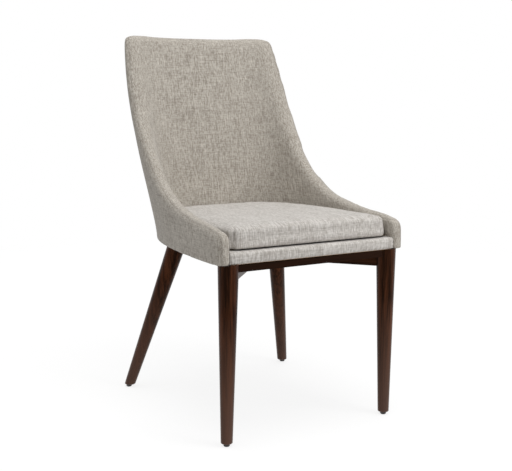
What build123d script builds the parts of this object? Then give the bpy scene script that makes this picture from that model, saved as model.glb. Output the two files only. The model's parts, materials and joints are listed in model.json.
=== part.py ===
import os

from build123d import *

os.makedirs("parts", exist_ok=True)

# Driving dimensions in millimetres. The chair faces -Y, its own left is +X, the floor is z = 0.
HEIGHT = 904
FRONT = -313
SEAT_UNDERSIDE = 405
TOP_DIP = 7

# Shell wall: control points of the outer plan line at three heights, rear centre to wing front,
# and the wall thickness there at the rear and at the front.
WALL_MIDDLE = 245
TOP_RUN_OUT = 26
WING_RUN_OUT = 32
LEVELS = (SEAT_UNDERSIDE, SEAT_UNDERSIDE + WALL_MIDDLE, HEIGHT + TOP_RUN_OUT)
PLAN = (
    ((0, 202), (95, 202), (270, 245), (243, FRONT - WING_RUN_OUT)),
    ((0, 257), (322, 257), (219, 125), (245, FRONT - WING_RUN_OUT)),
    ((0, 318), (316, 318), (188, 278), (245, FRONT - WING_RUN_OUT)),
)
WALL_REAR = (55, 57, 46)
WALL_FRONT = (30, 29, 26)
# Control points of the crest in side view, from the wing's front to the edge of the back.
CREST = (
    (FRONT, SEAT_UNDERSIDE + 68),
    (-59, SEAT_UNDERSIDE + 114),
    (66, SEAT_UNDERSIDE + 50),
    (234, HEIGHT - 24),
)
NOSE_ROUND = 22
CORNER_ROUND = 22

# Layers of the wall, as depths from its outer face.
CLEAR = 0.3
FABRIC = 1.5
PADDED = FABRIC + CLEAR
CORE_OUTER = 12
CORE_INNER = 24
CORE_EDGE = 18
SEAM_SHARE = 0.25
SHELL_BASE = SEAT_UNDERSIDE + CLEAR

# Seat frame
SNUG = 0.15
FRONT_FIT = 1
FRAME_THICK = 25
FRAME_TOP = SEAT_UNDERSIDE + FRAME_THICK
FRAME_FRONT = FRONT + 7
FRAME_NOTCH = FRAME_FRONT + 8
FRAME_HALF_FRONT = PLAN[0][3][0] - WALL_FRONT[0] - FRONT_FIT
FRAME_OPENING = ((150, FRAME_FRONT + 48), (150, 12), (105, 72))
BLOCK_LEG = 40
DOWEL_RADIUS = 4
DOWEL_HALF = 20
FRAME_DOWELS = (165, 188)
CORE_SCREWS = (0.1, 0.38, 0.6, 0.78)
WADDING = 3.7

# Dust cover under the seat
DUST_TOP = SEAT_UNDERSIDE - CLEAR
DUST_THICK = 0.8
DUST_INSET = 34
DUST_FRONT = FRONT + 43
STAPLE_INSET = 44
STAPLE_HALF = 5
STAPLE_WIRE = 0.6
STAPLE_DEPTH = 6
STAPLES_FRONT = (0, 60, 120)
STAPLES_ROUND = (0.06, 0.16, 0.36, 0.46, 0.56, 0.68, 0.8)

# Legs and underframe
FRONT_FOOT = (214, FRONT + 23)
FRONT_TOP = (210, FRONT + 23)
REAR_FOOT = (235, 207)
REAR_TOP = (139, 95)
LEG_TOP_RADIUS = 23
LEG_FOOT_RADIUS = 13
LEG_RUN_OUT = 30
LEG_EASE = 1.5
GLIDE_HEIGHT = 7
GLIDE_RADIUS = 7
GLIDE_EASE = 1.5
NAIL_RADIUS = 1.3
NAIL_LENGTH = 18
RAIL_HEIGHT = 17.7
RAIL_TOP = SEAT_UNDERSIDE - CLEAR
RAIL_UNDERSIDE = RAIL_TOP - RAIL_HEIGHT
RAIL_THICK = 18
RAIL_Y = FRONT + 20
BRACE_HEIGHT = 40.6
BRACE_TOP = DUST_TOP - DUST_THICK - CLEAR
BRACE_UNDERSIDE = BRACE_TOP - BRACE_HEIGHT
BRACE_THICK = 22
TENON_THICK = 10
TENON_HEIGHT = 28
TENON_INNER = 14
FRONT_SCREW_AT = 75
REAR_SCREW_AT = 42
BOLT_RADIUS = 3
BOLT_DEPTH = 35
FRONT_BOLT = (207, FRONT + 27)

# Seat pad
PAD_LIFT = 2.5
PAD_UNDERSIDE = FRAME_TOP + PADDED + PAD_LIFT
PAD_THICK = 49.7
PAD_CROWN = PAD_UNDERSIDE + PAD_THICK
CROWN_RADIUS = 9000
PAD_TOP_ROUND = 12
PAD_UNDER_ROUND = 6
PAD_GAP = 1.5
PAD_FRONT = FRONT + 13
CROWN_CENTRE = PAD_FRONT + 15
PAD_CORNER = 22
PAD_CENTRE = -78
PAD_REACH = 190
PAD_OPENING = 0.87
BOARD_SIZE = 0.945
BOARD_UNDERSIDE = PAD_UNDERSIDE + PADDED
BOARD_THICK = 12
SPACER_RADIUS = 10
SEAT_SCREWS = ((160, -158), (60, 92))

UP = (Align.CENTER, Align.CENTER, Align.MIN)


def pin(x, y, low, high, radius):
    """Upright round bar between two heights."""
    return Pos(x, y, low) * Cylinder(radius, high - low, align=UP)


def block(low, high):
    """Box between two opposite corners."""
    size = [b - a for a, b in zip(low, high)]
    middle = [(a + b) / 2 for a, b in zip(low, high)]
    return Pos(*middle) * Box(*size)


def slab(low, high):
    """Everything between two heights."""
    return block((-400, -400, low), (400, 400, high))


def both(solid):
    """The piece of the left side and its mirror image on the right."""
    return [solid, mirror(solid, about=Plane.YZ)]


def save(name, *solids):
    whole = [s for item in solids for s in item.solids()]
    export_step(whole[0] if len(whole) == 1 else Compound(whole), f"parts/{name}.step")


def at_height(values, z):
    """Quadratic through the values at the three plan heights."""
    a, b, c = LEVELS
    wa = (z - b) * (z - c) / ((a - b) * (a - c))
    wb = (z - a) * (z - c) / ((b - a) * (b - c))
    wc = (z - a) * (z - b) / ((c - a) * (c - b))
    return wa * values[0] + wb * values[1] + wc * values[2]


def cubic(control, t):
    """Point and direction on a cubic, by its control points."""
    a, b, c, d = control
    point = a * (1 - t) ** 3 + b * 3 * t * (1 - t) ** 2 + c * 3 * t * t * (1 - t) + d * t**3
    along = (b - a) * (1 - t) ** 2 + (c - b) * 2 * t * (1 - t) + (d - c) * t * t
    return point, along.normalized()


def drawn_in(control, depths):
    """Control points of a cubic that runs at four depths to the right of another one."""
    moved = []
    for k, depth in enumerate(depths):
        point, along = cubic(control, k / 3)
        moved.append(point + Vector(along.Y, -along.X) * depth)
    a, b, c, d = moved
    return [a, (b * 18 - a * 5 - c * 9 + d * 2) * (1 / 6), (c * 18 - d * 5 - b * 9 + a * 2) * (1 / 6), d]


def wall_line(z, share, depth):
    """Left half of the wall's plan line, rear centre to front, at a share of its thickness
    plus a depth in from the outer face."""
    control = [
        Vector(at_height([p[k][0] for p in PLAN], z), at_height([p[k][1] for p in PLAN], z))
        for k in range(4)
    ]
    rear = at_height(WALL_REAR, z)
    front = at_height(WALL_FRONT, z)
    depths = [depth + share * (rear + (front - rear) * k / 3) for k in range(4)]
    points = drawn_in(control, depths)
    points[1] = Vector(points[1].X, points[0].Y)
    return Bezier(*[(p.X, p.Y, z) for p in points])


def wall(outer, inner):
    """Untrimmed wall between two depths, each a share of the thickness and a distance."""
    sections = []
    for z in LEVELS:
        out = wall_line(z, *outer)
        back = wall_line(z, *inner)
        half = [out, Line(out @ 1, back @ 1), back]
        sections.append(make_face(half + [mirror(e, about=Plane.YZ) for e in half]))
    return loft(sections)


def inside(share, depth):
    """Everything that the wall encloses at a depth."""
    sections = []
    for z in LEVELS:
        line = wall_line(z, share, depth)
        other = mirror(line, about=Plane.YZ)
        sections.append(make_face([line, other, Line(line @ 1, other @ 1)]))
    return loft(sections)


def trim(inset, base):
    """The shell's side view and front view, drawn in by an inset, as one solid."""
    points = [Vector(0, p.X, p.Y) for p in drawn_in([Vector(*p) for p in CREST], [inset] * 4)]
    crest = Bezier(*points)
    rise = (HEIGHT + 20 - points[-1].Z) / (crest % 1).Z
    corner = crest @ 1 + (crest % 1) * rise
    front = FRONT + inset
    ahead = Vector(0, front - 40, points[0].Z)
    behind = [(0, 420, corner.Z), (0, 420, base), (0, ahead.Y, base)]
    outline = Polyline(crest @ 1, corner, *behind, ahead, crest @ 0)
    side = make_face([crest, outline]) & make_face(
        Polyline((0, front, base), (0, 500, base), (0, 500, 1000), (0, front, 1000), close=True)
    )
    nose = side.vertices().sort_by_distance((0, front, points[0].Z))[0]
    side = fillet(nose, max(NOSE_ROUND - inset, 2))
    top = HEIGHT - inset
    arc = ThreePointArc((-300, 0, top + 8), (0, 0, top - TOP_DIP), (300, 0, top + 8))
    view = make_face([arc, Polyline(arc @ 1, (300, 0, 300), (-300, 0, 300), arc @ 0)])
    views = extrude(side, 400, both=True, dir=(1, 0, 0)) & extrude(view, 600, both=True, dir=(0, 1, 0))
    solid = views.solids()[0]
    top_corner = solid.edges().sort_by_distance((0, corner.Y, top))[0]
    return solid.fillet(CORNER_ROUND, [top_corner])


def shell(inset, base):
    """Whole upholstered shell, drawn in by an inset."""
    return wall((0, inset), (1, -inset)) & trim(inset, base)


def plan_face(z, share, depth, front):
    """Flat outline that the wall encloses at a depth, cut off at a front line."""
    line = wall_line(z, share, depth)
    other = mirror(line, about=Plane.YZ)
    whole = Pos(0, 0, -z) * make_face([line, other, Line(line @ 1, other @ 1)])
    return whole & Pos(0, front + 500) * Rectangle(900, 1000)


# Seat frame: one outline, divided into four rails
def frame_blank(grow):
    solid = inside(0, CORE_INNER + SNUG - grow)
    solid &= block((-300, FRAME_FRONT - grow, SEAT_UNDERSIDE - grow), (300, 300, FRAME_TOP + grow))
    notch = block((FRAME_HALF_FRONT + grow, -400, 300), (400, FRAME_NOTCH - grow, 600))
    return solid - both(notch)


opening = Polyline(*FRAME_OPENING, *[(-x, y) for x, y in reversed(FRAME_OPENING)], close=True)
frame = frame_blank(0) - Pos(0, 0, 300) * extrude(make_face(opening), 300)
frame_room = frame_blank(CLEAR)
front_joint = FRAME_OPENING[0][1]
rear_joint = FRAME_OPENING[1][1]
frame_middle = (SEAT_UNDERSIDE + FRAME_TOP) / 2

frame_dowels = []
for joint in (front_joint, rear_joint):
    for x in FRAME_DOWELS:
        dowel = Rot(90, 0, 0) * Cylinder(DOWEL_RADIUS, 2 * DOWEL_HALF)
        frame_dowels += both(Pos(x, joint, frame_middle) * dowel)


# Legs
def axis_point(foot, top, z):
    share = z / SEAT_UNDERSIDE
    return Vector(foot[0] + (top[0] - foot[0]) * share, foot[1] + (top[1] - foot[1]) * share, z)


def leg_cone(foot, top):
    low = axis_point(foot, top, 0)
    along = axis_point(foot, top, SEAT_UNDERSIDE) - low
    unit = along.normalized()
    growth = (LEG_TOP_RADIUS - LEG_FOOT_RADIUS) / along.length * LEG_RUN_OUT
    cone = Cone(
        LEG_FOOT_RADIUS - growth, LEG_TOP_RADIUS + growth, along.length + 2 * LEG_RUN_OUT, align=UP
    )
    return Plane(origin=low - unit * LEG_RUN_OUT, z_dir=unit) * cone


def leg_blank(foot, top):
    solid = (leg_cone(foot, top) & slab(GLIDE_HEIGHT, SEAT_UNDERSIDE)).solids()[0]
    return solid.chamfer(LEG_EASE, None, solid.faces().sort_by(Axis.Z)[0].edges())


FEET = ((FRONT_FOOT, FRONT_TOP, FRONT_BOLT, "front"), (REAR_FOOT, REAR_TOP, REAR_TOP, "rear"))

# Front rail, coped to the legs and held by a dowel at each end
front_cones = both(leg_cone(FRONT_FOOT, FRONT_TOP))
rear_cones = both(leg_cone(REAR_FOOT, REAR_TOP))
rail_bar = block(
    (-FRONT_TOP[0], RAIL_Y - RAIL_THICK / 2, RAIL_UNDERSIDE),
    (FRONT_TOP[0], RAIL_Y + RAIL_THICK / 2, RAIL_TOP),
)
dowel_at = (FRONT_TOP[0] - LEG_TOP_RADIUS - 3, RAIL_Y, (RAIL_UNDERSIDE + RAIL_TOP) / 2)
rail_dowels = both(Pos(*dowel_at) * Rot(0, 90, 0) * Cylinder(DOWEL_RADIUS, 26))
save("front_rail", rail_bar - front_cones - rail_dowels)
save("rail_dowels", *rail_dowels)

# Crossing braces, half lapped, each with a stub tenon in two legs
brace_middle = (BRACE_UNDERSIDE + BRACE_TOP) / 2
brace_from = axis_point(FRONT_FOOT, FRONT_TOP, brace_middle)
brace_to = axis_point(REAR_FOOT, REAR_TOP, brace_middle)
brace_run = Vector(-brace_to.X - brace_from.X, brace_to.Y - brace_from.Y, 0)
brace_plane = Plane(origin=(brace_from.X, brace_from.Y, 0), x_dir=brace_run, z_dir=(0, 0, 1))


def brace_bar(low, high, extra):
    half = BRACE_THICK / 2 + extra
    return brace_plane * block((0, -half, low), (brace_run.length, half, high))


def tenons(extra):
    half = TENON_THICK / 2 + extra
    low = brace_middle - TENON_HEIGHT / 2 - extra
    high = brace_middle + TENON_HEIGHT / 2 + extra
    near = TENON_INNER - extra
    far = brace_run.length - near
    ends = ((near, near + 20), (far - 20, far))
    return [brace_plane * block((a, -half, low), (b, half, high)) for a, b in ends]


brace_screws = []
brace_screw_holes = []
for at in (FRONT_SCREW_AT, brace_run.length - REAR_SCREW_AT):
    place = brace_plane * Pos(at, 0, 0)
    head = pin(0, 0, brace_middle - 3, brace_middle, 4)
    brace_screws += both(place * (head + pin(0, 0, brace_middle, FRAME_TOP - 6, 2.2)))
    brace_screw_holes += both(place * pin(0, 0, BRACE_UNDERSIDE - 5, brace_middle, 4.5))

crossing_bar = brace_bar(BRACE_UNDERSIDE, BRACE_TOP, 0)
crossing_bar -= front_cones + rear_cones
lap_upper = mirror(brace_bar(brace_middle, BRACE_TOP + 1, SNUG), about=Plane.YZ)
lap_lower = mirror(brace_bar(BRACE_UNDERSIDE - 1, brace_middle, SNUG), about=Plane.YZ)
tenoned = crossing_bar + tenons(0) - brace_screws - brace_screw_holes
lower_brace = tenoned - lap_upper
upper_brace = mirror(tenoned - lap_lower, about=Plane.YZ)
save("lower_brace", lower_brace)
save("upper_brace", upper_brace)
save("brace_screws", *brace_screws)
mortises = [m for t in tenons(SNUG) for m in both(t)]

# Legs, glides, nails, bolts and tee nuts
nails = []
bolts = []
tee_nuts = []
bolt_holes = []
for foot, top, bolt, name in FEET:
    nail = pin(*foot, 2, 2 + NAIL_LENGTH, NAIL_RADIUS) + pin(*foot, 2, 3.2, 2 * NAIL_RADIUS)
    stud = pin(*bolt, SEAT_UNDERSIDE - BOLT_DEPTH, FRAME_TOP - 2, BOLT_RADIUS)
    barrel = pin(*bolt, FRAME_TOP - 10, FRAME_TOP, BOLT_RADIUS + 1.2)
    flange = pin(*bolt, FRAME_TOP - 1.5, FRAME_TOP, BOLT_RADIUS + 5)
    clearance = pin(*bolt, SEAT_UNDERSIDE - 1, FRAME_TOP - 10, BOLT_RADIUS + 0.2)
    glide = pin(*foot, 0, GLIDE_HEIGHT, GLIDE_RADIUS)
    glide = chamfer(glide.edges().sort_by(Axis.Z)[0], GLIDE_EASE)
    blank = leg_blank(foot, top) - stud - nail - mortises - rail_dowels
    for piece, side in zip(both(blank), ("left", "right")):
        save(f"{name}_leg_{side}", piece)
    for piece, side in zip(both(glide - nail), ("left", "right")):
        save(f"{name}_glide_{side}", piece)
    nails += both(nail)
    bolts += both(stud)
    tee_nuts += both(barrel + flange - pin(*bolt, 0, 600, BOLT_RADIUS + 0.05))
    bolt_holes += both(barrel + flange + clearance)
save("glide_nails", *nails)
save("hanger_bolts", *bolts)
save("tee_nuts", *tee_nuts)


# Seat pad
def pad_outline(z):
    """Outline of the pad at a height, just clear of the wall."""
    face = plan_face(z, 1, PAD_GAP, PAD_FRONT)
    return fillet(face.vertices().group_by(Axis.Y)[0], PAD_CORNER)


pad_foot = pad_outline(PAD_UNDERSIDE)
pad_head = pad_outline(PAD_CROWN)


def pad_section(outline, size, z):
    return Pos(0, PAD_CENTRE, z) * scale(Pos(0, -PAD_CENTRE, 0) * outline, size)


def pad(inset):
    """The pad, drawn in by an inset: leaning sides under a shallow dome, with rounded edges."""
    size = 1 - inset / PAD_REACH
    low = PAD_UNDERSIDE + inset
    sides = loft([pad_section(pad_foot, size, low), pad_section(pad_head, size, PAD_CROWN + 1)], ruled=True)
    dome = Pos(0, CROWN_CENTRE, PAD_CROWN - CROWN_RADIUS) * Sphere(CROWN_RADIUS - inset)
    solid = (sides & dome).solids()[0]
    solid = solid.fillet(PAD_TOP_ROUND - inset, solid.faces().sort_by(Axis.Z)[-1].edges())
    return solid.fillet(PAD_UNDER_ROUND - inset, solid.faces().sort_by(Axis.Z)[0].edges())


seat_screws = []
seat_screw_heads = []
spacers = []
for x, y in SEAT_SCREWS:
    head = pin(x, y, SEAT_UNDERSIDE + 1, SEAT_UNDERSIDE + 4, 4)
    shank = pin(x, y, SEAT_UNDERSIDE + 4, BOARD_UNDERSIDE + BOARD_THICK - 3, 2)
    seat_screws += both(head + shank)
    seat_screw_heads += both(pin(x, y, SEAT_UNDERSIDE - 1, SEAT_UNDERSIDE + 4, 4.2))
    spacers += both(pin(x, y, FRAME_TOP, BOARD_UNDERSIDE, SPACER_RADIUS) - shank)
board = extrude(pad_section(pad_foot, BOARD_SIZE, BOARD_UNDERSIDE), BOARD_THICK)
board_room = extrude(pad_section(pad_foot, BOARD_SIZE + 0.002, BOARD_UNDERSIDE - 8), BOARD_THICK + 8 + CLEAR)
underside_gap = extrude(pad_section(pad_foot, PAD_OPENING, BOARD_UNDERSIDE - 8), 8)
save("seat_board", board - seat_screws)
save("seat_foam", pad(PADDED) - board_room)
save("seat_cover", pad(0) - pad(FABRIC) - underside_gap)
save("seat_screws", *seat_screws)
save("seat_spacers", *spacers)

# Shell: core, foam and covers
core = wall((0, CORE_OUTER), (0, CORE_INNER)) & trim(CORE_EDGE, SHELL_BASE + PADDED)
core_room = wall((0, CORE_OUTER - CLEAR), (0, CORE_INNER + CLEAR)) & trim(CORE_EDGE - CLEAR, SHELL_BASE - 5)
core_screws = []
core_screw_heads = []
screw_line = wall_line(frame_middle, 0, 0)
for t in CORE_SCREWS:
    along = screw_line % t
    inward = Vector(along.Y, -along.X, 0)
    place = Plane(origin=screw_line @ t, z_dir=inward)
    head = place * pin(0, 0, CORE_OUTER + 2, CORE_OUTER + 4.5, 4)
    shank = place * pin(0, 0, CORE_OUTER + 4.5, CORE_INNER + 18, 2)
    core_screws += both(head + shank)
    core_screw_heads += both(place * pin(0, 0, CORE_OUTER - 5, CORE_OUTER + 4.5, 4.2))
save("shell_core", core - core_screws - core_screw_heads)
save("core_screws", *core_screws)

padding = shell(PADDED, SHELL_BASE + PADDED)
outer_zone = wall((0, -5), (0, CORE_OUTER))
save("foam_outside", padding & wall((0, -5), (0, CORE_OUTER - CLEAR)))
save("foam_inside", padding - outer_zone - core_room - frame_room)

skin = shell(0, SHELL_BASE) - shell(FABRIC, SHELL_BASE + FABRIC)
lining = wall((SEAM_SHARE, 0), (1, 5)) & slab(SHELL_BASE + FABRIC + 0.4, HEIGHT + 20)
lining_inner = wall((SEAM_SHARE, CLEAR), (1, 5)) & slab(SHELL_BASE + FABRIC + 0.4 + CLEAR, HEIGHT + 20)
save("cover_outside", skin - lining - frame_room)
save("cover_inside", (skin & lining_inner) - frame_room)

# Front of the seat frame: wadding and cover
face_y = FRAME_FRONT - CLEAR
wadding = block(
    (-FRAME_HALF_FRONT, face_y - WADDING, SHELL_BASE + PADDED), (FRAME_HALF_FRONT, face_y, FRAME_TOP)
)
wrap_front = face_y - WADDING - PADDED
wrap_top = FRAME_TOP + PADDED
wrap = block((-FRAME_HALF_FRONT, wrap_front, SHELL_BASE), (FRAME_HALF_FRONT, FRAME_FRONT + 30, wrap_top))
wrap = fillet(wrap.edges().filter_by(Axis.X).group_by(Axis.Y)[0], WADDING)
hollow = block((-300, wrap_front + FABRIC, SHELL_BASE + FABRIC), (300, 0, FRAME_TOP + CLEAR))
hollow = fillet(hollow.edges().filter_by(Axis.X).group_by(Axis.Y)[0], WADDING - FABRIC)
wadding = fillet(wadding.edges().filter_by(Axis.X).group_by(Axis.Y)[0], WADDING - PADDED)
save("front_wadding", wadding)
save("front_cover", wrap - hollow - frame_room)

# Dust cover and staples
staple_places = []
for x in STAPLES_FRONT:
    staple_places.append(Plane(origin=(x, DUST_FRONT + 6, 0)))
staple_line = wall_line(SEAT_UNDERSIDE, 0, STAPLE_INSET)
for t in STAPLES_ROUND:
    at = staple_line @ t
    staple_places.append(Plane(origin=(at.X, at.Y, 0), x_dir=staple_line % t, z_dir=(0, 0, 1)))
dust_low = DUST_TOP - DUST_THICK
staple = block((-STAPLE_HALF, -STAPLE_WIRE, dust_low - STAPLE_WIRE), (STAPLE_HALF, STAPLE_WIRE, dust_low))
for end in (-STAPLE_HALF, STAPLE_HALF - STAPLE_WIRE):
    staple += block((end, -STAPLE_WIRE, dust_low), (end + STAPLE_WIRE, STAPLE_WIRE, dust_low + STAPLE_DEPTH))
staples = []
for place in staple_places:
    piece = place * staple
    staples += both(piece) if place.origin.X > 1 else [piece]
dust = Pos(0, 0, dust_low) * extrude(plan_face(SEAT_UNDERSIDE, 0, DUST_INSET, DUST_FRONT), DUST_THICK)
for foot, top, bolt, name in FEET:
    dust -= both(pin(*top, 300, 500, LEG_TOP_RADIUS + 3))
save("dust_cover", dust - staples - brace_screws)
save("staples", *staples)

# Frame rails and glue blocks, with every hole
frame -= bolt_holes + brace_screws + seat_screws + seat_screw_heads + core_screws + frame_dowels + staples
side_rail = frame & block((0, front_joint, 300), (400, rear_joint, 600))
save("frame_front", frame & block((-400, -400, 300), (400, front_joint, 600)))
save("frame_rear", frame & block((-400, rear_joint, 300), (400, 400, 600)))
for piece, side in zip(both(side_rail), ("left", "right")):
    save(f"frame_{side}", piece)
save("frame_dowels", *frame_dowels)
x, y = FRAME_OPENING[0]
triangle = make_face(Polyline((x, y), (x - BLOCK_LEG, y), (x, y + BLOCK_LEG), close=True))
glue_block = Pos(0, 0, SEAT_UNDERSIDE) * extrude(triangle, FRAME_TOP - SEAT_UNDERSIDE)
for piece, side in zip(both(glue_block), ("left", "right")):
    save(f"corner_block_{side}", piece)
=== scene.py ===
"""Looks of the upholstered side chair: its soft pieces, finishes, light and camera."""

import json
import math

import bmesh
import bpy
import numpy as np
from mathutils import Euler, Matrix, Vector
from mathutils.bvhtree import BVHTree


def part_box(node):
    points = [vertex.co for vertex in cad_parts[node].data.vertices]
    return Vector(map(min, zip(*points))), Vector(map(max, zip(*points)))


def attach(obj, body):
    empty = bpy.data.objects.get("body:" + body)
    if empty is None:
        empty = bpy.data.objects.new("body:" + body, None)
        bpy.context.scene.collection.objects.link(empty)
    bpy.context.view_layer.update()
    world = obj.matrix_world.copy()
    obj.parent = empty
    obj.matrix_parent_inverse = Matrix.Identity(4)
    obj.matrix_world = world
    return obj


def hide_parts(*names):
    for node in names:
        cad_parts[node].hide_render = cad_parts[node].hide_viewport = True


MM = 0.001
TOUCH = 0.001 * MM

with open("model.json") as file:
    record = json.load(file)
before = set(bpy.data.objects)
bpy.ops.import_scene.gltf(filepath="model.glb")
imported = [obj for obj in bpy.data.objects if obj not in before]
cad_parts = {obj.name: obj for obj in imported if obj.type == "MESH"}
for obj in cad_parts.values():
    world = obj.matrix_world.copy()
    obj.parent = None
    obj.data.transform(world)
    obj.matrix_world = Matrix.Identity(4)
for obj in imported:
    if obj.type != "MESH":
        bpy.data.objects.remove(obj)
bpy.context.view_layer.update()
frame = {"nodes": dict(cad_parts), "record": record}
nodes = frame["nodes"]
scene = bpy.context.scene
scene.view_settings.view_transform = "Standard"


def linear(code):
    """Linear colour of an sRGB hex value."""
    parts = [int(code[k : k + 2], 16) / 255 for k in (1, 3, 5)]
    return [c / 12.92 if c <= 0.04045 else ((c + 0.055) / 1.055) ** 2.4 for c in parts] + [1.0]


def add(tree, kind, feeds=None, **settings):
    """Adds a node with its settings, and feeds its inputs from values or from other outputs."""
    made = tree.nodes.new(kind)
    for key, value in settings.items():
        setattr(made, key, value)
    for key, value in (feeds or {}).items():
        if isinstance(value, bpy.types.NodeSocket):
            tree.links.new(value, made.inputs[key])
        else:
            made.inputs[key].default_value = value
    return made


def new_finish(name, **sockets):
    """Empty material with its shader's plain values set."""
    finish = bpy.data.materials.new(name)
    finish.use_nodes = True
    shader = finish.node_tree.nodes["Principled BSDF"]
    for key, value in sockets.items():
        shader.inputs[key.replace("_", " ")].default_value = value
    return finish, finish.node_tree, shader


# Linen-look upholstery: a plain weave of slubby, heathered yarns in warm light grey. The eye gets
# short streaks along both threads, a matt face and a pale bloom where it is seen edge on. The real
# threads lie about 0.8 mm apart; the slubs are drawn 2.1 mm wide, so that they show.
SLUB_WIDTH = 2.1 * MM
SLUB_LENGTH = 11 * MM
STREAK_LENGTHS = 5
STREAK_SHARE = 0.45
STREAK_START = (7.3, 3.1, 5.7)
THREADS_IN_SLUB = 3
WARP_SHARE = 1.25
WEFT_SHARE = 0.75
MOTTLE_SIZE = 30 * MM
MOTTLE_SHARE = 0.15
DARKEST_SLUB = 1.2
PALEST_SLUB = 1.86
# Share of painted shade along seams
SEAM_PAINTED_SHADE_SHARE = 0.3
WEAVE_RELIEF = 0.4 * MM
BACK_YARNS = ("#8d857b", "#c2bcb2")
# The seat's yarns are the same cloth as the back's, painted paler and more neutral: painted light for
# the stronger light the level seat takes from above.
SEAT_YARNS_PAINTED_PALER = ("#a29c95", "#d1cdc8")
# Dark grey of the painted shade along seams
SEAM_PAINTED_SHADE = "#4f4941"


def woven_linen(name, warp_runs, weft_runs, yarns):
    """Weave over the cloth's own lie, whose threads run along the directions marked 1."""
    finish, tree, shader = new_finish(name, Roughness=0.9)
    shader.inputs["Specular IOR Level"].default_value = 0.2
    shader.inputs["Sheen Weight"].default_value = 0.2
    shader.inputs["Sheen Roughness"].default_value = 0.5
    place = add(tree, "ShaderNodeAttribute", attribute_name="weave").outputs["Vector"]
    slubs = 0.0
    threads = 0.0
    for runs, share in ((warp_runs, WARP_SHARE), (weft_runs, WEFT_SHARE)):
        spread = [1 / (SLUB_LENGTH if along else SLUB_WIDTH) for along in runs]
        lie = add(tree, "ShaderNodeMapping", {"Vector": place, "Scale": spread}).outputs[0]
        slub = add(
            tree,
            "ShaderNodeTexNoise",
            {"Vector": lie, "Scale": 1.0, "Detail": 1.0, "Roughness": 0.55},
        )
        thread = add(
            tree,
            "ShaderNodeTexNoise",
            {"Vector": lie, "Scale": THREADS_IN_SLUB, "Detail": 0.0},
        )
        slubs = add(
            tree,
            "ShaderNodeMath",
            {0: slub.outputs["Fac"], 1: share, 2: slubs},
            operation="MULTIPLY_ADD",
        ).outputs[0]
        drawn = [1 / STREAK_LENGTHS if along else 1.0 for along in runs]
        far = add(
            tree,
            "ShaderNodeMapping",
            {"Vector": lie, "Scale": drawn, "Location": STREAK_START},
        )
        streak = add(
            tree,
            "ShaderNodeTexNoise",
            {"Vector": far.outputs[0], "Scale": 1.0, "Detail": 0.0},
        )
        slubs = add(
            tree,
            "ShaderNodeMath",
            {0: streak.outputs["Fac"], 1: share * STREAK_SHARE, 2: slubs},
            operation="MULTIPLY_ADD",
        ).outputs[0]
        threads = add(tree, "ShaderNodeMath", {0: thread.outputs["Fac"], 1: threads}).outputs[0]
    mottle = add(
        tree,
        "ShaderNodeTexNoise",
        {"Vector": place, "Scale": 1 / MOTTLE_SIZE, "Detail": 3.0},
    )
    heather = add(
        tree,
        "ShaderNodeMath",
        {0: mottle.outputs["Fac"], 1: MOTTLE_SHARE, 2: slubs},
        operation="MULTIPLY_ADD",
    )
    tone = add(
        tree,
        "ShaderNodeMapRange",
        {"Value": heather.outputs[0], "From Min": DARKEST_SLUB, "From Max": PALEST_SLUB},
    )
    yarn = add(
        tree,
        "ShaderNodeMix",
        {0: tone.outputs[0], 6: linear(yarns[0]), 7: linear(yarns[1])},
        data_type="RGBA",
    )
    # Near a seam the yarn colour is mixed towards a dark grey: painted shade in the seam's groove.
    painted_seam_shade = add(tree, "ShaderNodeAttribute", attribute_name="painted_seam_shade").outputs["Fac"]
    shade = add(tree, "ShaderNodeMath", {0: painted_seam_shade, 1: SEAM_PAINTED_SHADE_SHARE}, operation="MULTIPLY")
    sewn = add(
        tree,
        "ShaderNodeMix",
        {0: shade.outputs[0], 6: yarn.outputs[2], 7: linear(SEAM_PAINTED_SHADE)},
        data_type="RGBA",
    )
    tree.links.new(sewn.outputs[2], shader.inputs["Base Color"])
    relief = add(tree, "ShaderNodeMath", {0: threads, 1: slubs})
    bump = add(
        tree,
        "ShaderNodeBump",
        {"Height": relief.outputs[0], "Strength": 0.35, "Distance": WEAVE_RELIEF},
    )
    tree.links.new(bump.outputs[0], shader.inputs["Normal"])
    return finish


# Solid beech under a dark walnut stain and satin lacquer: fine straight grain and a broader figure,
# both a little lighter, soft brown highlights, and painted light from the floor: paler, greyer towards
# the feet.
GRAIN_WIDTH = 4 * MM
GRAIN_LENGTH = 90 * MM
FIGURE_WIDTH = 14 * MM
FIGURE_LENGTH = 260 * MM
FIGURE_SHARE = 0.9
DARKEST_GRAIN = 0.78
PALEST_GRAIN = 1.24
GRAIN_RELIEF = 0.3 * MM
# Painted light: below this height the stain is mixed towards a paler grey-brown, for the bright
# floor's bounce and reflection on the lower legs.
FLOOR_LIGHT_BELOW = 300 * MM
FLOOR_LIGHT_SHARE = 0.8
PAINTED_FLOOR_LIGHT = "#634e45"
GLOSS_TINT = "#d3a283"


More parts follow.
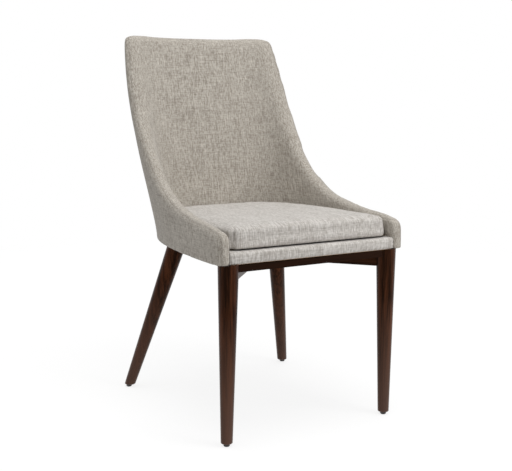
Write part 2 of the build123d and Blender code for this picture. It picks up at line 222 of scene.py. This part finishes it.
def stained_beech(name, turn, dark="#180b06", pale="#54301e"):
    """Stained wood whose grain runs along the Z direction of the turned axes."""
    finish, tree, shader = new_finish(name, Roughness=0.28)
    shader.inputs["Specular IOR Level"].default_value = 0.12
    shader.inputs["Specular Tint"].default_value = linear(GLOSS_TINT)
    place = add(tree, "ShaderNodeTexCoord").outputs["Object"]
    grain = add(
        tree,
        "ShaderNodeMapping",
        {"Vector": place, "Rotation": turn, "Scale": (GRAIN_WIDTH, GRAIN_WIDTH, GRAIN_LENGTH)},
        vector_type="TEXTURE",
    )
    streaks = add(
        tree,
        "ShaderNodeTexNoise",
        {"Vector": grain.outputs[0], "Scale": 1.0, "Detail": 4.0, "Roughness": 0.6},
    )
    wide = add(
        tree,
        "ShaderNodeMapping",
        {"Vector": place, "Rotation": turn, "Scale": (FIGURE_WIDTH, FIGURE_WIDTH, FIGURE_LENGTH)},
        vector_type="TEXTURE",
    )
    figure = add(
        tree,
        "ShaderNodeTexNoise",
        {"Vector": wide.outputs[0], "Scale": 1.0, "Detail": 1.0},
    )
    both = add(
        tree,
        "ShaderNodeMath",
        {0: figure.outputs["Fac"], 1: FIGURE_SHARE, 2: streaks.outputs["Fac"]},
        operation="MULTIPLY_ADD",
    )
    tone = add(
        tree,
        "ShaderNodeMapRange",
        {"Value": both.outputs[0], "From Min": DARKEST_GRAIN, "From Max": PALEST_GRAIN},
    )
    stain = add(
        tree,
        "ShaderNodeMix",
        {0: tone.outputs[0], 6: linear(dark), 7: linear(pale)},
        data_type="RGBA",
    )
    # Paler and greyer towards the feet: painted light from the bright floor.
    height = add(tree, "ShaderNodeSeparateXYZ", {"Vector": place}).outputs["Z"]
    floor_light = add(
        tree,
        "ShaderNodeMapRange",
        {"Value": height, "From Min": FLOOR_LIGHT_BELOW, "From Max": 0.0, "To Max": FLOOR_LIGHT_SHARE},
    )
    floor_lit = add(
        tree,
        "ShaderNodeMix",
        {0: floor_light.outputs[0], 6: stain.outputs[2], 7: linear(PAINTED_FLOOR_LIGHT)},
        data_type="RGBA",
    )
    tree.links.new(floor_lit.outputs[2], shader.inputs["Base Color"])
    sheen = add(
        tree,
        "ShaderNodeMapRange",
        {"Value": streaks.outputs["Fac"], "To Min": 0.22, "To Max": 0.34},
    )
    tree.links.new(sheen.outputs[0], shader.inputs["Roughness"])
    bump = add(
        tree,
        "ShaderNodeBump",
        {"Height": streaks.outputs["Fac"], "Strength": 0.12, "Distance": GRAIN_RELIEF},
    )
    tree.links.new(bump.outputs[0], shader.inputs["Normal"])
    return finish


# Bare sawn beech and birch plywood inside the upholstery: pale, matt, with long grain.
BARE_GRAIN_WIDTH = 5 * MM
BARE_GRAIN_LENGTH = 60 * MM


def bare_wood(name, dark, pale):
    finish, tree, shader = new_finish(name, Roughness=0.62)
    place = add(tree, "ShaderNodeTexCoord").outputs["Object"]
    spread = (1 / BARE_GRAIN_LENGTH, 1 / BARE_GRAIN_WIDTH, 1 / BARE_GRAIN_WIDTH)
    grain = add(tree, "ShaderNodeMapping", {"Vector": place, "Scale": spread})
    streaks = add(
        tree,
        "ShaderNodeTexNoise",
        {"Vector": grain.outputs[0], "Scale": 1.0, "Detail": 4.0},
    )
    wood = add(
        tree,
        "ShaderNodeMix",
        {0: streaks.outputs["Fac"], 6: linear(dark), 7: linear(pale)},
        data_type="RGBA",
    )
    tree.links.new(wood.outputs[2], shader.inputs["Base Color"])
    return finish


# Spun-bonded black cloth under the seat: thin matt fibres with a faint mottle.
FIBRE_SIZE = 3 * MM
FIBRE_RELIEF = 0.2 * MM


def spun_cloth():
    finish, tree, shader = new_finish("black_spunbond_cloth", Roughness=0.95)
    place = add(tree, "ShaderNodeTexCoord").outputs["Object"]
    fibres = add(
        tree,
        "ShaderNodeTexNoise",
        {"Vector": place, "Scale": 1 / FIBRE_SIZE, "Detail": 4.0},
    )
    cloth = add(
        tree,
        "ShaderNodeMix",
        {0: fibres.outputs["Fac"], 6: linear("#141414"), 7: linear("#2c2b2a")},
        data_type="RGBA",
    )
    tree.links.new(cloth.outputs[2], shader.inputs["Base Color"])
    bump = add(
        tree,
        "ShaderNodeBump",
        {"Height": fibres.outputs["Fac"], "Strength": 0.3, "Distance": FIBRE_RELIEF},
    )
    tree.links.new(bump.outputs[0], shader.inputs["Normal"])
    return finish


# Moulded dark nylon glides: fine spark-eroded skin, half matt, mottled very slightly.
NYLON_GRIT = 1 * MM


def moulded_nylon():
    finish, tree, shader = new_finish("dark_moulded_nylon", Roughness=0.5)
    place = add(tree, "ShaderNodeTexCoord").outputs["Object"]
    skin = add(
        tree,
        "ShaderNodeTexNoise",
        {"Vector": place, "Scale": 1 / NYLON_GRIT, "Detail": 2.0},
    )
    tone = add(
        tree,
        "ShaderNodeMix",
        {0: skin.outputs["Fac"], 6: linear("#1a1411"), 7: linear("#2a221d")},
        data_type="RGBA",
    )
    tree.links.new(tone.outputs[2], shader.inputs["Base Color"])
    return finish


# Zinc-plated steel of screws, bolts, tee nuts, nails and staples: pale grey metal with a fine spangle
# that varies its gloss.
SPANGLE_SIZE = 2 * MM


def zinc_steel():
    finish, tree, shader = new_finish("zinc_plated_steel", Metallic=1.0, Roughness=0.35)
    place = add(tree, "ShaderNodeTexCoord").outputs["Object"]
    spangle = add(
        tree,
        "ShaderNodeTexNoise",
        {"Vector": place, "Scale": 1 / SPANGLE_SIZE, "Detail": 2.0},
    )
    tone = add(
        tree,
        "ShaderNodeMix",
        {0: spangle.outputs["Fac"], 6: linear("#9c9d9e"), 7: linear("#c6c7c8")},
        data_type="RGBA",
    )
    tree.links.new(tone.outputs[2], shader.inputs["Base Color"])
    rough = add(
        tree,
        "ShaderNodeMapRange",
        {"Value": spangle.outputs["Fac"], "To Min": 0.28, "To Max": 0.45},
    )
    tree.links.new(rough.outputs[0], shader.inputs["Roughness"])
    return finish


def dress(piece, finish):
    """Gives a piece one finish."""
    piece.data.materials.clear()
    piece.data.materials.append(finish)


def soft_copy(name, *sources):
    """New object from merged copies of CAD solids."""
    bm = bmesh.new()
    for source in sources:
        bm.from_mesh(nodes[source].data)
    bmesh.ops.remove_doubles(bm, verts=bm.verts, dist=TOUCH)
    return put(name, bm)


def put(name, bm):
    """Links a finished bmesh as a new object."""
    mesh = bpy.data.meshes.new(name)
    bm.to_mesh(mesh)
    bm.free()
    piece = bpy.data.objects.new(name, mesh)
    scene.collection.objects.link(piece)
    return piece


def settle(piece):
    """Applies a piece's modifiers to its mesh."""
    shown = piece.evaluated_get(bpy.context.evaluated_depsgraph_get())
    mesh = bpy.data.meshes.new_from_object(shown)
    piece.modifiers.clear()
    old = piece.data
    piece.data = mesh
    bpy.data.meshes.remove(old)
    mesh.shade_smooth()


def remesh(piece, voxel):
    """Joins everything in a piece into one even skin."""
    skin = piece.modifiers.new("skin", "REMESH")
    skin.mode = "VOXEL"
    skin.voxel_size = voxel
    settle(piece)


def points(mesh):
    """Places of a mesh's points, one row each."""
    flat = np.empty(3 * len(mesh.vertices), np.float32)
    mesh.vertices.foreach_get("co", flat)
    return flat.reshape(-1, 3).astype(float)


def normals(mesh):
    """Outward directions of a mesh's points, one row each."""
    flat = np.empty(3 * len(mesh.vertices), np.float32)
    mesh.vertices.foreach_get("normal", flat)
    return flat.reshape(-1, 3).astype(float)


def move(mesh, at):
    """Puts a mesh's points at new places."""
    mesh.vertices.foreach_set("co", at.astype(np.float32).ravel())
    mesh.update()


def relax(mesh, passes, steps=(0.5, -0.51)):
    """Smooths a skin: each pass draws it in, and lets it out again where there is a second step."""
    at = points(mesh)
    ends = np.empty(2 * len(mesh.edges), np.int32)
    mesh.edges.foreach_get("vertices", ends)
    a, b = ends.reshape(-1, 2).T
    count = np.bincount(ends, minlength=len(at))[:, None]
    for _ in range(passes):
        for share in steps:
            total = np.stack(
                [
                    np.bincount(a, at[b, k], len(at)) + np.bincount(b, at[a, k], len(at))
                    for k in range(3)
                ],
                axis=1,
            )
            at += share * (total / count - at)
    move(mesh, at)


def lay_weave(mesh, lie):
    """Keeps with the mesh where each point lies in the cloth."""
    cloth = mesh.attributes.new("weave", "FLOAT_VECTOR", "POINT")
    cloth.data.foreach_set("vector", lie.astype(np.float32).ravel())


def mark_painted_seam_shade(mesh, weight):
    """Keeps how near each point lies to a seam, for the painted shade that darkens the cloth there."""
    painted_seam_shade = mesh.attributes.new("painted_seam_shade", "FLOAT", "POINT")
    painted_seam_shade.data.foreach_set("value", weight.astype(np.float32))


def surface(mesh):
    """Search tree of a mesh's faces."""
    return BVHTree.FromPolygons([v.co for v in mesh.vertices], [p.vertices for p in mesh.polygons])


# Cloth under pressure: its force, the steps worked out in each frame, and the frame it is left at
PRESSURE = 4
CLOTH_STEPS = 5
LAST_MOMENT = 20


def swell(piece, held, cap):
    """Blows a padded skin up as cloth, with some points held and the movement capped."""
    before = points(piece.data)
    piece.vertex_groups.new(name="held").add([int(k) for k in np.flatnonzero(held)], 1.0, "REPLACE")
    cloth = piece.modifiers.new("cloth", "CLOTH")
    cloth.settings.quality = CLOTH_STEPS
    cloth.settings.use_pressure = True
    cloth.settings.uniform_pressure_force = PRESSURE
    cloth.settings.effector_weights.gravity = 0
    cloth.settings.vertex_group_mass = "held"
    cloth.collision_settings.use_collision = False
    cloth.point_cache.frame_start = 1
    cloth.point_cache.frame_end = LAST_MOMENT
    for moment in range(1, LAST_MOMENT + 1):
        scene.frame_set(moment)
    settle(piece)
    scene.frame_set(1)
    piece.vertex_groups.clear()
    shift = points(piece.data) - before
    length = np.linalg.norm(shift, axis=1, keepdims=True)
    move(piece.data, before + shift * np.minimum(1, cap / np.maximum(length, TOUCH)))


# Shell: one padded skin over core and foam, with round rims and a seam near its outer edge. Its
# wings' fronts are rounded less than its back, and smoothing's loss is made up at top and crest.
ROUND_VOXEL = 5 * MM
NOSE_PASSES = 20
BACK_PASSES = 60
SOFTER_FROM = 500 * MM
SOFTER_BY = 660 * MM
TOP_LIFT = 4 * MM
TOP_SPREAD = 0.03
CREST_FROM = 430 * MM
CREST_BY = 470 * MM
CREST_SINK = 4 * MM
CREST_LEAN = 2.5 * MM
WING_FADE = 60 * MM
NOSE_FROM = -260 * MM
NOSE_BY = -190 * MM
NOSE_SHARE = 0.15
HEM = 45 * MM
HEM_SEARCH = 1 * MM
FACING_DOWN = -0.9
SKIN_VOXEL = 3.5 * MM
SKIN_PASSES = 10
SEAM_ABOVE = 412 * MM
SEAM_GAP = 0.6 * MM
SEAM_REACH = 16 * MM
SEAM_WIDTH = 1.8 * MM
SEAM_DEPTH = 0.45 * MM

# The wall's middle line in plan at three heights, in mm: the control points of its left half, from
# the rear centre to the wing's front
LINE_POINTS = 81
LINE_BATCHES = 30
WALL_LEVELS = (405, 650, 930)
WALL_LINES = (
    ((0, 202), (95, 202), (270, 245), (243, -345)),
    ((0, 257), (322, 257), (219, 125), (245, -345)),
    ((0, 318), (316, 318), (188, 278), (245, -345)),
)


def wall_lie(at):
    """Where each point lies in the wall: run from the rear centre, height, and depth out of it."""
    t = np.linspace(0, 1, LINE_POINTS)[:, None]
    shape = np.hstack([(1 - t) ** 3, 3 * t * (1 - t) ** 2, 3 * t * t * (1 - t), t**3])
    a, b, c = np.array(WALL_LEVELS) * MM
    lie = []
    for part in np.array_split(at, LINE_BATCHES):
        z = part[:, 2]
        share = np.stack(
            [
                (z - b) * (z - c) / ((a - b) * (a - c)),
                (z - a) * (z - c) / ((b - a) * (b - c)),
                (z - a) * (z - b) / ((c - a) * (c - b)),
            ],
            axis=1,
        )
        line = np.einsum("nl,lkd,tk->ntd", share, np.array(WALL_LINES) * MM, shape)
        step = np.diff(line, axis=1)
        length = np.linalg.norm(step, axis=2)
        run = np.cumsum(length, axis=1) - length / 2
        off = np.stack([np.abs(part[:, 0]), part[:, 1]], axis=1)[:, None] - line[:, :-1] - step / 2
        near = np.argmin((off**2).sum(2), axis=1)
        row = np.arange(len(part))
        unit = step[row, near] / length[row, near][:, None]
        apart = off[row, near]
        along = run[row, near] + (apart * unit).sum(1)
        out = apart[:, 1] * unit[:, 0] - apart[:, 0] * unit[:, 1]
        lie.append(np.stack([along * np.where(part[:, 0] < 0, -1, 1), z, out], axis=1))
    return np.concatenate(lie)


def seam_tree():
    """The narrow faces where the outside cover meets the inside cover along the crest."""
    inner = surface(nodes["cover_inside"].data)
    outside = nodes["cover_outside"].data
    sewn = [
        p.vertices[:]
        for p in outside.polygons
        if p.center.z > SEAM_ABOVE and inner.find_nearest(p.center, SEAM_GAP)[0] is not None
    ]
    return BVHTree.FromPolygons([v.co for v in outside.vertices], sewn)


def drop_hem(piece, low):
    """Lengthens a piece downwards from its flat underside, so that rounding leaves that edge alone."""
    bm = bmesh.new()
    bm.from_mesh(piece.data)
    under = [
        f
        for f in bm.faces
        if f.normal.z < FACING_DOWN and f.calc_center_median().z < low + HEM_SEARCH
    ]
    spread = bmesh.ops.extrude_face_region(bm, geom=under)["geom"]
    lowered = [part for part in spread if isinstance(part, bmesh.types.BMVert)]
    bmesh.ops.translate(bm, verts=lowered, vec=(0, 0, -HEM))
    bm.to_mesh(piece.data)
    bm.free()


def cut_hem(piece, low):
    """Cuts the spare length off again and closes the underside."""
    bm = bmesh.new()
    bm.from_mesh(piece.data)
    everything = bm.verts[:] + bm.edges[:] + bm.faces[:]
    cut = bmesh.ops.bisect_plane(
        bm, geom=everything, plane_co=(0, 0, low), plane_no=(0, 0, 1), clear_inner=True
    )["geom_cut"]
    rim = [part for part in cut if isinstance(part, bmesh.types.BMEdge)]
    bmesh.ops.holes_fill(bm, edges=rim)
    bm.to_mesh(piece.data)
    bm.free()


def shell_skin():
    """The shell's upholstery: back and both wings in one padded piece."""
    piece = soft_copy(
        "shell_upholstery",
        "foam_inside",
        "foam_outside",
        "cover_inside",
        "cover_outside",
        "shell_core",
    )
    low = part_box("cover_outside")[0].z
    drop_hem(piece, low)
    remesh(piece, ROUND_VOXEL)
    mesh = piece.data
    relax(mesh, NOSE_PASSES, steps=(0.5,))
    firm = points(mesh)
    relax(mesh, BACK_PASSES - NOSE_PASSES, steps=(0.5,))
    soft = np.clip((firm[:, 2] - SOFTER_FROM) / (SOFTER_BY - SOFTER_FROM), 0, 1)
    at = firm + (points(mesh) - firm) * soft[:, None]
    high = np.clip((at[:, 2] - SOFTER_BY) / (at[:, 2].max() - SOFTER_BY), 0, 1)
    crest = np.clip((at[:, 2] - CREST_FROM) / (CREST_BY - CREST_FROM), 0, 1)
    crest *= np.clip((SOFTER_BY - at[:, 2]) / (SOFTER_BY - SOFTER_FROM), 0, 1)
    wing = np.clip(-at[:, 1] / WING_FADE, 0, 1)
    crest *= np.clip((at[:, 1] - NOSE_FROM) / (NOSE_BY - NOSE_FROM), NOSE_SHARE, 1)
    at[:, 0] *= 1 + TOP_SPREAD * high
    at[:, 0] -= np.sign(at[:, 0]) * CREST_LEAN * crest * wing
    at[:, 2] += TOP_LIFT * high**2 - CREST_SINK * crest
    move(mesh, at)
    cut_hem(piece, low)
    remesh(piece, SKIN_VOXEL)
    mesh = piece.data
    relax(mesh, SKIN_PASSES)
    at = points(mesh)
    sewn = seam_tree()
    weight = np.zeros(len(at))
    for k, co in enumerate(at):
        spot, way, _, _ = sewn.find_nearest(Vector(co), SEAM_REACH)
        if spot is not None:
            weight[k] = math.exp(-(((Vector(co) - spot).dot(way) / SEAM_WIDTH) ** 2))
    # Sinks the seam a little and keeps its weight, which the cloth's shader turns into painted shade
    # along the seam.
    move(mesh, at - normals(mesh) * (weight * SEAM_DEPTH)[:, None])
    mark_painted_seam_shade(mesh, weight)
    lay_weave(mesh, wall_lie(at))
    return piece


# Seat pad: boxed cushion with a low crown, turned under all round where it meets its board
PAD_VOXEL = 4.5 * MM
PAD_PASSES = 3
PAD_HELD = 4 * MM
PAD_SHRINK = 2.5 * MM
PAD_SWELL = 4 * MM
PAD_LAST_PASSES = 4
TURN_HEIGHT = 9 * MM
TURN_UNDER = 4 * MM
PAD_CORNERS = ((-1, 26 * MM), (1, 13 * MM))


def round_corners(at):
    """Rounds the pad's front corners in plan: the photo shows a wider gap beside one of them."""
    front = at[:, 1].min()
    for side, radius in PAD_CORNERS:
        edge = (side * at[at[:, 1] < front + radius, 0]).max()
        centre = np.array([side * (edge - radius), front + radius])
        spot = (at[:, :2] - centre) * (side, -1)
        corner = (spot > 0).all(axis=1)
        spot = spot[corner]
        spot *= (spot.max(axis=1) / np.linalg.norm(spot, axis=1))[:, None]
        at[corner, :2] = centre + spot * (side, -1)


def seat_cushion():
    """The seat's cushion: drawn in a little, then swelled as cloth."""
    piece = soft_copy("seat_cushion", "seat_cover", "seat_foam", "seat_board")
    remesh(piece, PAD_VOXEL)
    mesh = piece.data
    relax(mesh, PAD_PASSES, steps=(0.5,))
    at = points(mesh)
    low = at[:, 2].min()
    held = at[:, 2] < low + PAD_HELD
    out = normals(mesh)
    at -= out * PAD_SHRINK * (~held)[:, None]
    turned_under = np.clip(1 - (at[:, 2] - low) / TURN_HEIGHT, 0, 1) ** 2
    at[:, :2] -= out[:, :2] * (TURN_UNDER * turned_under)[:, None]
    round_corners(at)
    move(mesh, at)
    swell(piece, held, PAD_SWELL)
    relax(piece.data, PAD_LAST_PASSES)
    lay_weave(piece.data, points(piece.data))
    return piece


# Front band: cloth wrapped round the front of the seat frame, gathered a little at both ends, which
# are tucked in against the shell
BAND_LONGER = 1.8 * MM
BAND_LAP = 30 * MM
BAND_STEPS = 160
BAND_EDGE = 7 * MM
BAND_FACE = 8 * MM
BAND_CUTS = 6
BAND_FRONT = 9 * MM
BAND_FULL = 1.4 * MM
BAND_INSET = 0.6 * MM
BAND_THICK = 1.4 * MM
FULL_FROM_END = 16 * MM
PUCKER = 0.7 * MM
PUCKER_PITCH = 9 * MM
PUCKER_REACH = 9 * MM
TUCK = 20 * MM
TUCK_REACH = 9 * MM
TUCK_DEPTH = 4 * MM
TUCK_CLEAR = 0.4 * MM
# Width of the painted shade at the band's ends
END_SHADE_WIDTH = 1.6 * MM


def front_band(beside):
    """The band under the cushion, with its ends tucked in against the shell's skin."""
    low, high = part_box("front_cover")
    low.x -= BAND_LONGER
    high.x += BAND_LONGER
    bm = bmesh.new()
    corners = [
        (low.x, high.y, high.z),
        (low.x, low.y, high.z),
        (low.x, low.y, low.z),
        (low.x, low.y + BAND_LAP, low.z),
    ]
    line = [bm.verts.new(c) for c in corners]
    edges = [bm.edges.new(pair) for pair in zip(line, line[1:])]
    bmesh.ops.spin(
        bm,
        geom=line + edges,
        cent=(0, 0, 0),
        axis=(1, 0, 0),
        dvec=((high.x - low.x) / BAND_STEPS, 0, 0),
        angle=0,
        steps=BAND_STEPS,
    )
    rims = [
        e
        for e in bm.edges
        if abs(e.verts[0].co.y - low.y) < TOUCH
        and abs(e.verts[1].co.y - low.y) < TOUCH
        and abs(e.verts[0].co.z - e.verts[1].co.z) < TOUCH
    ]
    bmesh.ops.bevel(
        bm, geom=rims, offset=BAND_EDGE, segments=5, affect="EDGES", profile=0.5, material=-1
    )
    front = [
        e
        for e in bm.edges
        if abs(e.verts[0].co.x - e.verts[1].co.x) < TOUCH
        and abs(e.verts[0].co.z - e.verts[1].co.z) > BAND_FACE
    ]
    bmesh.ops.subdivide_edges(bm, edges=front, cuts=BAND_CUTS, use_grid_fill=True)
    bmesh.ops.recalc_face_normals(bm, faces=bm.faces)
    piece = put("front_band", bm)
    mesh = piece.data
    at = points(mesh)
    share = np.clip((at[:, 2] - low.z) / (high.z - low.z), 0, 1)
    facing = np.clip((low.y + BAND_FRONT - at[:, 1]) / BAND_FRONT, 0, 1)
    end = np.minimum(at[:, 0] - low.x, high.x - at[:, 0])
    gather = np.exp(-end / PUCKER_REACH) * np.sin(2 * math.pi * at[:, 2] / PUCKER_PITCH)
    full = np.sin(math.pi * share) * (1 - np.exp(-end / FULL_FROM_END))
    at[:, 1] -= facing * (BAND_FULL * full + PUCKER * gather - BAND_INSET)
    skin = surface(beside.data)
    for k in np.flatnonzero(end < TUCK):
        way = math.copysign(1, at[k, 0])
        near = 1 - end[k] / TUCK
        at[k, 1] += TUCK_DEPTH * facing[k] * near**4
        behind = max(at[k, 1], low.y + TUCK_DEPTH)
        from_inside = Vector((at[k, 0] - way * TUCK, behind, at[k, 2]))
        spot = skin.ray_cast(from_inside, Vector((way, 0, 0)), 3 * TUCK)[0]
        reach = TUCK_REACH
        if spot is not None:
            reach = min(way * spot.x - TUCK_CLEAR - high.x, TUCK_REACH)
        at[k, 0] += way * reach * near**2
    move(mesh, at)
    thick = piece.modifiers.new("thickness", "SOLIDIFY")
    thick.thickness = BAND_THICK
    thick.offset = -1
    lay_weave(mesh, at)
    # Darkens both ends where they tuck in against the shell: painted shade in that crease.
    mark_painted_seam_shade(mesh, np.exp(-((end / END_SHADE_WIDTH) ** 2)) * facing)
    mesh.shade_smooth()
    return piece


# Dust cover: thin cloth stapled up under the seat, drawn in a little between its staples
DUST_CELL = 15 * MM
DUST_THICK = 0.6 * MM
FACING_UP = 0.5
STAPLE_HOLD = 22 * MM
DRAWN_IN = 1.2 * MM
RIPPLE = 0.1 * MM
RIPPLE_LENGTH = 5 * MM
RIPPLE_REACH = 60 * MM


def dust_sheet():
    """The dust cloth, with the size and the area it is cut to."""
    bm = bmesh.new()
    bm.from_mesh(nodes["dust_cover"].data)
    bmesh.ops.remove_doubles(bm, verts=bm.verts, dist=TOUCH)
    spare = [f for f in bm.faces if f.normal.z < FACING_UP]
    bmesh.ops.delete(bm, geom=spare, context="FACES")
    low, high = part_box("dust_cover")
    for axis, way in ((0, (1, 0, 0)), (1, (0, 1, 0))):
        for spot in np.arange(low[axis] + DUST_CELL, high[axis], DUST_CELL):
            place = Vector(way) * spot
            everything = bm.verts[:] + bm.edges[:] + bm.faces[:]
            bmesh.ops.bisect_plane(bm, geom=everything, plane_co=place, plane_no=way)
    area = sum(f.calc_area() for f in bm.faces)
    staples = surface(nodes["staples"].data)
    middle = (low + high) / 2
    for v in bm.verts:
        far = staples.find_nearest(v.co)[3]
        slack = 1 - math.exp(-((far / STAPLE_HOLD) ** 2))
        inward = Vector((middle.x - v.co.x, middle.y - v.co.y, 0)).normalized()
        if v.is_boundary:
            v.co += inward * DRAWN_IN * slack
        v.co.z -= RIPPLE * (1 + math.sin(far / RIPPLE_LENGTH)) * math.exp(-far / RIPPLE_REACH)
    piece = put("dust_cloth_sheet", bm)
    thick = piece.modifiers.new("thickness", "SOLIDIFY")
    thick.thickness = DUST_THICK
    thick.offset = -1
    return piece, (high.x - low.x, high.y - low.y), area


upright_linen = woven_linen("heathered_linen_on_shell", (0, 1, 0), (1, 0, 0), BACK_YARNS)
# Copy of the cloth for seat and band, painted paler: painted light from above.
seat_linen_painted_paler = woven_linen("heathered_linen_on_seat_painted_paler", (0, 1, 1), (1, 0, 0), SEAT_YARNS_PAINTED_PALER)
shell = shell_skin()
cushion = seat_cushion()
band = front_band(shell)
for piece, fill, cloth, stood_for in (
    (shell, 0.9, upright_linen, ("foam_inside", "foam_outside", "cover_inside", "cover_outside")),
    (cushion, 0.85, seat_linen_painted_paler, ("seat_cover", "seat_foam")),
    (band, 0.7, seat_linen_painted_paler, ("front_cover", "front_wadding")),
):
    dress(piece, cloth)
    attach(piece, "root")
    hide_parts(*stood_for)

dust, cut_size, cut_area = dust_sheet()
dress(dust, spun_cloth())
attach(dust, "root")
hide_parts("dust_cover")

# Finishes of the carried-over pieces. The grain runs along each piece: the braces lie at 42 degrees.
LEVEL = math.radians(90)
BRACE_TURN = math.radians(42)
upright_grain = stained_beech("walnut_stained_beech_legs", (0, 0, 0))
# The rail's stain is set darker than the legs': painted shade, for the rail sits in the shade under
# the seat.
rail_grain_painted_shade = stained_beech("walnut_stained_beech_rail_painted_shade", (0, LEVEL, 0), "#150a05", "#241109")
brace_grain = stained_beech("walnut_stained_beech_braces", (LEVEL, 0, BRACE_TURN))
brace_grain_other = stained_beech("walnut_stained_beech_brace", (LEVEL, 0, -BRACE_TURN))
beech = bare_wood("bare_sawn_beech", "#b98f63", "#d2ad80")
plywood = bare_wood("birch_plywood", "#b79566", "#d6ba8e")
steel = zinc_steel()
nylon = moulded_nylon()
BY_SLOT = {"beech": beech, "plywood": plywood, "steel": steel, "nylon": nylon}
BY_NODE = {"front_rail": rail_grain_painted_shade, "lower_brace": brace_grain, "upper_brace": brace_grain_other}
for part in frame["record"]["subparts"]:
    name = part["node"]
    slot = part["material_slot"]
    if slot in ("upholstery", "foam", "dust_cloth"):
        continue
    dress(nodes[name], BY_NODE.get(name) or BY_SLOT.get(slot) or upright_grain)


# Floor and light
def seen_straight(tree):
    """1 for rays that come to the eye straight, off a gloss or through glass, and 0 for the rest."""
    ray = add(tree, "ShaderNodeLightPath")
    seen = ray.outputs["Is Camera Ray"]
    for kind in ("Is Glossy Ray", "Is Transmission Ray"):
        either = add(
            tree, "ShaderNodeMath", {0: seen, 1: ray.outputs[kind]}, operation="MAXIMUM"
        )
        seen = either.outputs[0]
    return seen


# Pale matt studio floor: it shows white and takes the chair's soft shadow, and fades into the
# white behind so that no horizon shows.
FLOOR_HALF = 30
FADE_FROM = 0.8
FADE_BY = 2.4
NEAR_SHARE = 0.7
NEAR_LEVEL = 1.18


def pale_floor():
    finish, tree, shader = new_finish("pale_floor", Roughness=0.9)
    shader.inputs["Base Color"].default_value = linear("#dcdcdc")
    shader.inputs["Specular IOR Level"].default_value = 0.0
    place = add(tree, "ShaderNodeTexCoord").outputs["Object"]
    far = add(tree, "ShaderNodeVectorMath", {0: place}, operation="LENGTH").outputs["Value"]
    fade = {"Value": far, "From Min": FADE_FROM, "From Max": FADE_BY, "To Max": 1.0}
    glow = add(tree, "ShaderNodeMapRange", {**fade, "To Min": NEAR_SHARE})
    share = add(
        tree,
        "ShaderNodeMath",
        {0: seen_straight(tree), 1: glow.outputs[0]},
        operation="MULTIPLY",
    )
    level = add(tree, "ShaderNodeMapRange", {**fade, "To Min": NEAR_LEVEL})
    white = add(tree, "ShaderNodeEmission", {"Color": (1, 1, 1, 1), "Strength": level.outputs[0]})
    mix = add(
        tree,
        "ShaderNodeMixShader",
        {0: share.outputs[0], 1: shader.outputs[0], 2: white.outputs[0]},
    )
    tree.links.new(mix.outputs[0], tree.nodes["Material Output"].inputs["Surface"])
    bm = bmesh.new()
    bmesh.ops.create_grid(bm, x_segments=1, y_segments=1, size=FLOOR_HALF)
    floor = put("floor", bm)
    dress(floor, finish)


# Soft light from all sides and two round softboxes: name, place, size in metres and watts
ROOM_LIGHT = 0.48
LIGHTS_AIM = Vector((0, 0, 0.5))
SOFTBOXES = (
    ("top_softbox", (-0.1, -0.4, 3.6), 2.6, 61),
    ("front_softbox", (1.4, -2.2, 1.3), 1.6, 25),
)


def studio():
    world = bpy.data.worlds.new("studio")
    scene.world = world
    world.use_nodes = True
    tree = world.node_tree
    level = add(
        tree,
        "ShaderNodeMapRange",
        {"Value": seen_straight(tree), "To Min": ROOM_LIGHT, "To Max": 1.0},
    )
    sky = tree.nodes["Background"]
    sky.inputs["Color"].default_value = (1, 1, 1, 1)
    tree.links.new(level.outputs[0], sky.inputs["Strength"])
    for name, place, size, power in SOFTBOXES:
        lamp = bpy.data.lights.new(name, "AREA")
        lamp.shape = "DISK"
        lamp.size = size
        lamp.energy = power
        holder = bpy.data.objects.new(name, lamp)
        holder.location = place
        way = LIGHTS_AIM - Vector(place)
        holder.rotation_euler = way.to_track_quat("-Z", "Y").to_euler()
        scene.collection.objects.link(holder)


# Camera at the photo's angle: place in metres, turns in degrees, lens and film width in mm
CAMERA_PLACE = (-1.1741, -2.0638, 0.7888)
CAMERA_TURN = (80.931, 0, -30.189)
CAMERA_ROLL = 0.26
CAMERA_LENS = 67.96
FILM_WIDTH = 36


def camera():
    lens = bpy.data.cameras.new("camera")
    lens.sensor_width = FILM_WIDTH
    lens.lens = CAMERA_LENS
    holder = bpy.data.objects.new("camera", lens)
    turn = Euler([math.radians(v) for v in CAMERA_TURN]).to_matrix()
    turn = turn @ Matrix.Rotation(math.radians(CAMERA_ROLL), 3, "Z")
    holder.matrix_world = Matrix.Translation(CAMERA_PLACE) @ turn.to_4x4()
    scene.collection.objects.link(holder)
    scene.camera = holder


pale_floor()
studio()
camera()
